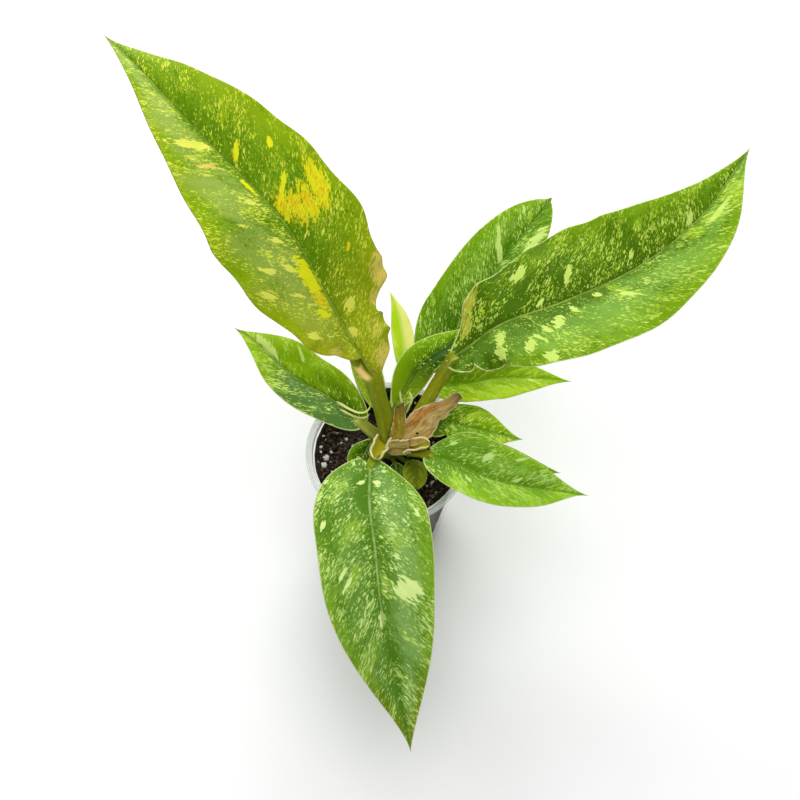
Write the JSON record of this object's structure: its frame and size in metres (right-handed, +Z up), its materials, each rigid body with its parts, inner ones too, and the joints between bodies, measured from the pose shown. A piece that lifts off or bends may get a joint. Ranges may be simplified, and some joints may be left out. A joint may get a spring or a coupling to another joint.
{
  "type": "potted ring of fire philodendron",
  "caption": "Young philodendron with long pointed green leaves, flecked cream and lime, on grooved stalks that fan out from a short stem in a small clear plastic pot of dark potting mix.",
  "frame": {"origin": "centre of the pot's flat underside", "axes": "+Z up, +X to the right and +Y to the back as the picture sees the plant"},
  "size_m": [0.2311, 0.2172, 0.1739],
  "materials": {
    "clear_plastic": "gloss",
    "potting_mix": "matte",
    "stem": "satin",
    "leaf_olive": "satin",
    "leaf_dark": "satin",
    "leaf_green": "satin",
    "leaf_lime": "satin",
    "leaf_pale": "satin",
    "papery_sheath": "matte"
  },
  "bodies": {
    "root": {"pot": "clear_plastic", "potting_mix": "potting_mix", "stem": "stem", "leaf_upper_left": "leaf_olive", "leaf_upper_right": "leaf_dark", "leaf_back_right": "leaf_green", "leaf_front": "leaf_green", "leaf_centre_dark": "leaf_dark", "leaf_back_new": "leaf_pale", "leaf_right_lime": "leaf_lime", "leaf_right_middle": "leaf_green", "leaf_right_front": "leaf_green", "leaf_right_hidden": "leaf_green", "leaf_left": "leaf_dark", "leaf_back_left": "leaf_lime", "leaf_front_small": "leaf_green", "leaf_low_oval": "leaf_olive", "leaf_low_small": "leaf_dark", "sheath_strip": "papery_sheath", "sheath_flap": "papery_sheath"}
  },
  "joints": []
}
